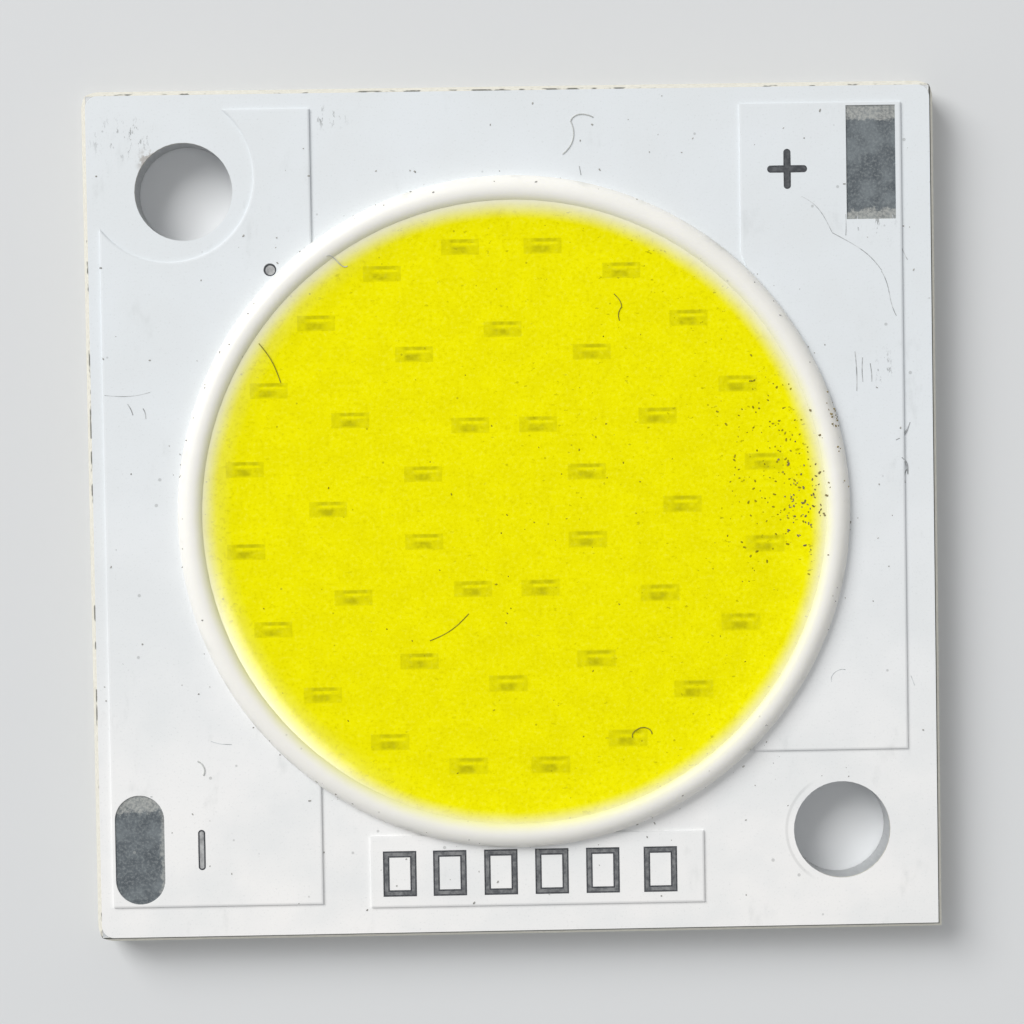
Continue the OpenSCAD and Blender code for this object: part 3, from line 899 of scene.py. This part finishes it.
@dataclass
class Marks:
    """Marks on the mask: the polarity signs, a row of empty boxes and the probe spot."""

    bench: Bench
    ground: Ground
    stroke: float = 0.24
    proud: float = 0.004
    sunk: float = 0.02
    lip: float = 0.05
    dish: float = 0.003
    plus_x: float = 9.1
    plus_y: float = 11.1
    plus_reach: float = 0.655
    minus_x: float = -10.46
    minus_y: float = -10.93
    minus_reach: float = 0.665
    box_x: tuple[float, ...] = (-3.97, -2.32, -0.64, 1.04, 2.72, 4.62)
    box_y: float = -11.84
    box_w: float = 1.1
    box_h: float = 1.5
    box_stroke: float = 0.21
    spot_x: float = -7.86
    spot_y: float = 8.05
    spot_r: float = 0.205

    def bar(self, x: float, y: float, reach: float, upright: bool) -> bpy.types.Object:
        """A flat round-ended bar, as a solid.

        Args:
            x: Its centre.
            y: Its centre.
            reach: Half its length.
            upright: Whether it runs along Y.

        Returns:
            The bar.
        """
        Bench.clear()
        level = self.ground.height(x + 1.0, y) - self.sunk
        bpy.ops.mesh.primitive_circle_add(
            vertices=24,
            radius=self.stroke / 2 * MM,
            fill_type="NGON",
            location=(x * MM, y * MM, level * MM),
        )
        piece = bpy.context.object
        slide = (reach - self.stroke / 2) * MM
        axis, middle = (1, y) if upright else (0, x)
        for side in (1, -1):
            Bench.pick(piece, lambda at: side * (at[axis] - middle) > 1e-4)
            move = [0.0, 0.0, 0.0]
            move[axis] = side * slide
            bpy.ops.transform.translate(value=move)
        Bench.thicken(self.sunk + self.proud)
        return piece

    def dish_out(self, piece: bpy.types.Object, top: float, merge: bool = False) -> None:
        """Insets the top faces, lets them down a little and gives them the second finish; the rim
        keeps the first, a painted shadow.

        Args:
            piece: The solid.
            top: The level of its top, in millimetres.
            merge: Whether the top's faces are merged first.
        """
        Bench.pick(piece, lambda at: abs(at.z - top) < 1e-3, faces=True)
        if merge:
            bpy.ops.mesh.dissolve_limited(angle_limit=0.01)
        bpy.ops.mesh.inset(thickness=self.lip * MM, depth=-self.dish * MM)
        piece.data.materials.append(None)
        piece.data.materials.append(None)
        piece.active_material_index = 1
        bpy.ops.object.material_slot_assign()
        Bench.settle(piece)

    def register(self, piece: bpy.types.Object, name: str, floor: PlainFinish) -> None:
        """Hands a mark over with its two finishes, keeping which face has which.

        Args:
            piece: The mark.
            name: Its name.
            floor: The finish inside its rim of painted shadow.
        """
        kept = [face.material_index for face in piece.data.polygons]
        self.bench.hand_over(piece, name, "foil", [MARK_PAINTED_SHADOW, floor])
        for face, index in zip(piece.data.polygons, kept):
            face.material_index = index

    def plus_sign(self) -> None:
        """The plus sign beside the plus pad: two bars joined in one solid."""
        upright = self.bar(self.plus_x, self.plus_y, self.plus_reach, True)
        level = self.bar(self.plus_x, self.plus_y, self.plus_reach, False)
        Bench.clear()
        bpy.context.view_layer.objects.active = upright
        upright.select_set(True)
        joint = upright.modifiers.new("joint", "BOOLEAN")
        joint.operation = "UNION"
        joint.object = level
        bpy.ops.object.modifier_apply(modifier=joint.name)
        bpy.data.objects.remove(level)
        top = self.ground.height(self.plus_x + 1.0, self.plus_y) + self.proud
        self.dish_out(upright, top, merge=True)
        self.register(upright, "plus_sign", MARK_DARK)

    def minus_sign(self) -> None:
        """The minus sign beside the minus pad, turned to stand upright."""
        piece = self.bar(self.minus_x, self.minus_y, self.minus_reach, True)
        top = self.ground.height(self.minus_x + 1.0, self.minus_y) + self.proud
        self.dish_out(piece, top)
        self.register(piece, "minus_sign", MARK_PALE)

    def bin_boxes(self) -> None:
        """A row of empty boxes, as a generic marking."""
        level = self.ground.height(self.box_x[0], self.box_y)
        for number, x in enumerate(self.box_x, 1):
            Bench.clear()
            bpy.ops.mesh.primitive_plane_add(
                size=1, location=(x * MM, self.box_y * MM, (level - self.sunk) * MM)
            )
            piece = bpy.context.object
            piece.scale = (self.box_w * MM, self.box_h * MM, 1)
            bpy.ops.object.transform_apply(location=False, rotation=False, scale=True)
            bpy.ops.object.mode_set(mode="EDIT")
            bpy.ops.mesh.select_all(action="SELECT")
            bpy.ops.mesh.inset(thickness=self.box_stroke * MM)
            bpy.ops.mesh.delete(type="FACE")
            Bench.thicken(self.sunk + self.proud)
            self.dish_out(piece, level + self.proud)
            self.register(piece, f"bin_box_{number}", MARK_FLOOR)

    def probe_spot(self) -> None:
        """The tinned spot in the round opening beside the dam: a disc with a rim of painted
        shadow.
        """
        Bench.clear()
        box = Box.of("minus_foil")
        bpy.ops.mesh.primitive_circle_add(
            vertices=32,
            radius=self.spot_r * MM,
            fill_type="NGON",
            location=(self.spot_x * MM, self.spot_y * MM, (box.high - self.sunk) * MM),
        )
        piece = bpy.context.object
        bpy.ops.object.mode_set(mode="EDIT")
        Bench.thicken(self.sunk + self.proud * 3)
        self.dish_out(piece, box.high + self.proud * 3)
        self.register(piece, "probe_spot", MARK_PALE)

    def build(self) -> None:
        """Makes every mark."""
        self.plus_sign()
        self.minus_sign()
        self.bin_boxes()
        self.probe_spot()


# ---- Fibres, cracks and dust ----


class Debris(Enum):
    """What a thin line on the surface is, and how it is finished."""

    HAIR_ON_GEL = FIBRE_OLIVE
    PALE_HAIR = FIBRE_PALE
    CRACK = CRACK
    SCRAPE = SCRAPE


@dataclass(frozen=True)
class Thread:
    """One thin line on the surface: a hair that fell on it, or a fine crack in the mask.

    It starts at (x, y) and ends a span away in the heading's direction. It sets off lean_out
    degrees to the left of that direction, and comes in lean_in degrees to the left of it.
    """

    kind: Debris
    x: float
    y: float
    heading: float
    span: float
    lean_out: float = 0.0
    lean_in: float = 0.0
    width: float = 0.04


@dataclass
class Litter:
    """The hairs and cracks, each one a thin tube that lies on the surface or half in it."""

    bench: Bench
    ground: Ground
    threads: list[Thread] = field(default_factory=lambda: [
        Thread(Debris.PALE_HAIR, 1.75, 11.7, 75, 1.1, -40, 40, 0.04),
        Thread(Debris.PALE_HAIR, 2.03, 12.76, 10, 0.75, 65, -40, 0.04),
        Thread(Debris.CRACK, -13.35, 4.05, 3, 1.5, -10, 12, 0.045),
        Thread(Debris.SCRAPE, -12.6, 3.75, -65, 0.4, 10, -10, 0.06),
        Thread(Debris.SCRAPE, -12.1, 3.6, -75, 0.35, 20, -10, 0.06),
        Thread(Debris.CRACK, 9.55, 10.2, -50, 1.55, 25, -15, 0.045),
        Thread(Debris.CRACK, 10.55, 9.0, -38, 2.05, 8, -18, 0.05),
        Thread(Debris.CRACK, 12.15, 7.72, -72, 1.55, 14, 10, 0.05),
        Thread(Debris.CRACK, 12.55, 9.55, -72, 1.55, -8, 10, 0.05),
        Thread(Debris.SCRAPE, 11.25, 5.1, -88, 1.3, 4, -4, 0.06),
        Thread(Debris.SCRAPE, 11.5, 4.9, -90, 0.8, -5, 5, 0.05),
        Thread(Debris.SCRAPE, 11.75, 4.7, -86, 0.6, 3, -8, 0.05),
        Thread(Debris.CRACK, 11.0, 9.6, -90, 0.7, 3, -3, 0.05),
        Thread(Debris.CRACK, 11.4, 9.55, -88, 0.5, 0, 6, 0.06),
        Thread(Debris.SCRAPE, 13.05, 2.75, -130, 0.75, 20, -30, 0.06),
        Thread(Debris.SCRAPE, 12.75, 1.6, -70, 0.6, 30, -20, 0.07),
        Thread(Debris.SCRAPE, 12.95, 1.25, -100, 0.5, -20, 30, 0.07),
        Thread(Debris.HAIR_ON_GEL, -8.25, 5.65, -62, 1.45, 12, -10, 0.03),
        Thread(Debris.HAIR_ON_GEL, -2.85, -4.15, 34, 1.55, -14, 14, 0.025),
        Thread(Debris.HAIR_ON_GEL, 3.75, -7.45, 50, 0.42, 60, -30, 0.035),
        Thread(Debris.HAIR_ON_GEL, 4.02, -7.13, -30, 0.42, 40, -60, 0.035),
        Thread(Debris.HAIR_ON_GEL, 3.35, 7.1, -60, 0.5, 15, -25, 0.03),
        Thread(Debris.HAIR_ON_GEL, 3.6, 6.67, -100, 0.45, -30, 30, 0.03),
        Thread(Debris.PALE_HAIR, -6.0, 8.45, -25, 0.75, 60, 60, 0.03),
        Thread(Debris.PALE_HAIR, -10.55, -8.0, -70, 0.5, 50, -60, 0.045),
        Thread(Debris.CRACK, -10.1, -7.35, -10, 0.7, -12, 8, 0.045),
        Thread(Debris.CRACK, 10.35, -5.75, 40, 0.6, 70, -60, 0.04),
        Thread(Debris.CRACK, 12.98, -5.6, -70, 0.35, 0, 0, 0.05),
        Thread(Debris.SCRAPE, -12.35, -9.15, 0, 0.3, 6, -6, 0.05),
        Thread(Debris.SCRAPE, 2.3, 11.3, -80, 0.3, 0, 0, 0.05),
    ])

    def line(self, thread: Thread, number: int) -> None:
        """Makes one thread.

        Args:
            thread: What to make.
            number: Its number in its kind's name.
        """
        Bench.clear()
        bpy.ops.curve.primitive_bezier_curve_add(location=(0, 0, 0))
        piece = bpy.context.object
        heading = math.radians(thread.heading)
        end_x = thread.x + thread.span * math.cos(heading)
        end_y = thread.y + thread.span * math.sin(heading)
        sink = -0.35 if thread.kind in (Debris.CRACK, Debris.SCRAPE) else 0.35
        ceiling = CREST - thread.width * 0.6
        levels = [
            min(self.ground.height(x, y) + thread.width * sink, ceiling)
            for x, y in ((thread.x, thread.y), (end_x, end_y))
        ]
        start = Vector((thread.x, thread.y, levels[0])) * MM
        end = Vector((end_x, end_y, levels[1])) * MM
        pull = thread.span * 0.4 * MM
        out = heading + math.radians(thread.lean_out)
        back = heading + math.radians(thread.lean_in)
        ends = ((start, out), (end, back))
        for point, (at, angle) in zip(piece.data.splines[0].bezier_points, ends):
            lean = Vector((math.cos(angle), math.sin(angle), 0)) * pull
            point.handle_left_type = point.handle_right_type = "FREE"
            point.co, point.handle_right, point.handle_left = at, at + lean, at - lean
        piece.data.bevel_depth = thread.width / 2 * MM
        piece.data.bevel_resolution = 1
        piece.data.resolution_u = 14
        piece.data.use_fill_caps = True
        bpy.ops.object.convert(target="MESH")
        piece = bpy.context.object
        slot = "phosphor_fill" if thread.kind is Debris.HAIR_ON_GEL else "solder_mask"
        name = f"{thread.kind.name.lower()}_{number}"
        self.bench.hand_over(piece, name, slot, [thread.kind.value], smooth=True)

    def build(self) -> None:
        """Makes every thread."""
        for number, thread in enumerate(self.threads, 1):
            self.line(thread, number)


@dataclass(frozen=True)
class Sprinkle:
    """A patch of dust.

    Each grain falls about (x, y), spread along X and Y, and is kept between two distances from
    the part's centre.
    """

    name: str
    count: int
    x: float
    y: float
    spread_x: float
    spread_y: float
    nearest: float = 0.0
    furthest: float = 19.0
    size: float = 0.035
    finish: PlainFinish = DUST
    seed: int = 1


@dataclass
class Dust:
    """The grains of dust, joined in one piece for each patch."""

    bench: Bench
    ground: Ground
    half: float = 13.6
    patches: list[Sprinkle] = field(default_factory=lambda: [
        Sprinkle("dust_on_gel", 150, 8.8, 1.3, 1.0, 1.6, 6.8, 9.9, 0.055, DUST, 3),
        Sprinkle("dust_dense", 70, 9.5, 0.2, 0.45, 0.8, 8.8, 10.4, 0.06, GRIT, 5),
        Sprinkle("grit_on_dam", 26, 10.5, 2.5, 0.35, 0.9, 10.2, 11.05, 0.07, GRIT, 7),
        Sprinkle("dust_round_dam", 80, 0.0, 0.0, 9.0, 9.0, 10.75, 11.3, 0.045, SOOT, 8),
        Sprinkle("dust_on_mask", 90, 0.0, 0.0, 11.0, 11.0, 11.4, 19.0, 0.05, SOOT, 13),
        Sprinkle("dust_over_gel", 70, 1.5, 0.5, 6.0, 6.0, 0.0, 9.6, 0.045, DUST, 21),
    ])

    def grain(self) -> bpy.types.Object:
        """One grain a millimetre across, flattened and knocked out of round."""
        Bench.clear()
        bpy.ops.mesh.primitive_ico_sphere_add(subdivisions=1, radius=0.5 * MM, location=(0, 0, 0))
        piece = bpy.context.object
        bpy.ops.object.mode_set(mode="EDIT")
        bpy.ops.mesh.select_all(action="SELECT")
        bpy.ops.transform.resize(value=(1.0, 0.75, 0.45))
        bpy.ops.transform.vertex_random(offset=0.12 * MM, seed=4)
        bpy.ops.object.mode_set(mode="OBJECT")
        return piece

    def patch(self, sprinkle: Sprinkle) -> None:
        """Scatters one patch.

        Args:
            sprinkle: What to scatter.
        """
        dice = random.Random(sprinkle.seed)
        first = self.grain()
        copies = []
        while len(copies) < sprinkle.count:
            x = dice.gauss(sprinkle.x, sprinkle.spread_x)
            y = dice.gauss(sprinkle.y, sprinkle.spread_y)
            far = math.hypot(x, y)
            if not sprinkle.nearest < far < sprinkle.furthest or max(abs(x), abs(y)) > self.half:
                continue
            level = self.ground.height(x, y)
            size = sprinkle.size * dice.uniform(0.6, 1.9)
            if level < FACE_LEVEL or level + size * 0.5 > CREST:
                continue
            copy = first.copy()
            copy.data = first.data.copy()
            copy.location = (x * MM, y * MM, (level + size * 0.08) * MM)
            copy.rotation_euler = (0, 0, dice.uniform(0, math.tau))
            copy.scale = (size * dice.uniform(0.7, 1.5), size, size * 0.6)
            bpy.context.collection.objects.link(copy)
            copies.append(copy)
        bpy.data.objects.remove(first)
        Bench.clear()
        for copy in copies:
            copy.select_set(True)
        bpy.context.view_layer.objects.active = copies[0]
        bpy.ops.object.join()
        piece = bpy.context.object
        Bench.settle(piece)
        slot = "phosphor_fill" if sprinkle.furthest < GEL_REACH else "solder_mask"
        self.bench.hand_over(piece, sprinkle.name, slot, [sprinkle.finish])

    def build(self) -> None:
        """Scatters every patch."""
        for sprinkle in self.patches:
            self.patch(sprinkle)


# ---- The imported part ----


@dataclass
class PackedPart:
    """The CAD nodes, which keep their shapes and get their finishes here."""

    wardrobe: Wardrobe

    def finish_of(self, node: str):
        """The finish that a node wears.

        Args:
            node: The node's name.

        Returns:
            Its finish.
        """
        named = {
            "base_plate": AluminiumFinish(),
            "dielectric_layer": ResinFinish(),
            "solder_mask": MaskFinish(),
            "dam_ring": DamFinish(),
            "phosphor_fill": GelFinish(),
            "die_attach": ADHESIVE,
        }
        if node in named:
            return named[node]
        if node.endswith("_foil"):
            return TinFinish()
        return GOLD if node.startswith("bond_wires") else SAPPHIRE

    def dress(self) -> None:
        """Gives every node its finish."""
        for name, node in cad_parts.items():
            material = self.wardrobe.get(self.finish_of(name))
            if not node.material_slots:
                node.data.materials.append(material)
            for slot in node.material_slots:
                slot.material = material
            log.info("%s wears %s", name, material.name)


# ---- The studio ----


@dataclass(frozen=True)
class Softbox:
    """A square lamp that looks at the part: where it hangs, its width and its power."""

    name: str
    x: float
    y: float
    z: float
    width: float
    watts: float
    colour: tuple[float, float, float] = (1.0, 1.0, 1.0)


@dataclass
class Studio:
    """The floor, the lamps, the surroundings and the camera."""

    lamps: tuple[Softbox, ...] = (
        Softbox("key_lamp", -0.46, 0.42, 0.5, 0.45, 5.5, (1.0, 0.995, 0.98)),
        Softbox("rim_lamp", 0.14, 0.065, 0.85, 0.1, 0.25),
    )
    sky: float = 0.4
    floor_width: float = 1.2
    floor_colour: Colour = tint(222, 224, 226)
    backdrop: Colour = tint(236, 238, 240)
    turn: tuple[float, float, float] = (1.698, 0.829, 0.955)
    offset: tuple[float, float, float] = (0.0645, 0.0301, -86.805)
    focal_share: float = 2600 / 1024

    def floor(self) -> None:
        """A wide pale floor under the part."""
        Bench.clear()
        bpy.ops.mesh.primitive_grid_add(
            x_subdivisions=4, y_subdivisions=4, size=self.floor_width, location=(0, 0, -0.00002)
        )
        ground = bpy.context.object
        ground.name = "floor"
        ground.data.materials.append(Tree("floor").surface({
            "Base Color": self.floor_colour,
            "Roughness": 0.85,
            "Specular IOR Level": 0.1,
        }))

    def light(self) -> None:
        """The lamps, and the plain surroundings."""
        for lamp in self.lamps:
            Bench.clear()
            bpy.ops.object.light_add(type="AREA", location=(lamp.x, lamp.y, lamp.z))
            made = bpy.context.object
            made.name = lamp.name
            made.data.size = lamp.width
            made.data.energy = lamp.watts
            made.data.color = lamp.colour
            towards = Vector((-lamp.x, -lamp.y, -lamp.z))
            made.rotation_euler = towards.to_track_quat("-Z", "Y").to_euler()
        world = bpy.data.worlds.new("surroundings")
        world.use_nodes = True
        bpy.context.scene.world = world
        nodes, links = world.node_tree.nodes, world.node_tree.links
        nodes.clear()
        path = nodes.new("ShaderNodeLightPath")
        seen = path.outputs["Is Camera Ray"]
        for ray in ("Is Transmission Ray", "Is Glossy Ray"):
            either = nodes.new("ShaderNodeMath")
            either.operation = "MAXIMUM"
            links.new(seen, either.inputs[0])
            links.new(path.outputs[ray], either.inputs[1])
            seen = either.outputs[0]
        sky = nodes.new("ShaderNodeBackground")
        sky.inputs["Color"].default_value = (1.0, 1.0, 1.0, 1.0)
        sky.inputs["Strength"].default_value = self.sky
        backdrop = nodes.new("ShaderNodeBackground")
        backdrop.inputs["Color"].default_value = self.backdrop
        mix = nodes.new("ShaderNodeMixShader")
        links.new(seen, mix.inputs[0])
        links.new(sky.outputs[0], mix.inputs[1])
        links.new(backdrop.outputs[0], mix.inputs[2])
        links.new(mix.outputs[0], nodes.new("ShaderNodeOutputWorld").inputs["Surface"])

    def camera(self) -> None:
        """The camera, which looks almost straight down."""
        Bench.clear()
        bpy.ops.object.camera_add()
        made = bpy.context.object
        made.name = "camera"
        made.data.sensor_width = FILM
        made.data.lens = FILM * self.focal_share
        made.data.clip_start = 0.001
        turn = Euler([math.radians(angle) for angle in self.turn], "XYZ").to_matrix().to_4x4()
        made.matrix_world = (Matrix.Translation(Vector(self.offset) * MM) @ turn).inverted()
        bpy.context.scene.camera = made

    def build(self) -> None:
        """Sets the studio up."""
        self.camera()
        self.floor()
        self.light()
        bpy.context.scene.view_settings.view_transform = "Standard"


def main() -> None:
    """Dresses the part, adds its marks and its wear, and sets up the studio."""
    logging.basicConfig(level=logging.INFO, format="%(message)s")
    wardrobe = Wardrobe()
    bench = Bench(wardrobe)
    ground = Ground()
    PackedPart(wardrobe).dress()
    Marks(bench, ground).build()
    Litter(bench, ground).build()
    Dust(bench, ground).build()
    Studio().build()


if __name__ == "__main__":
    main()
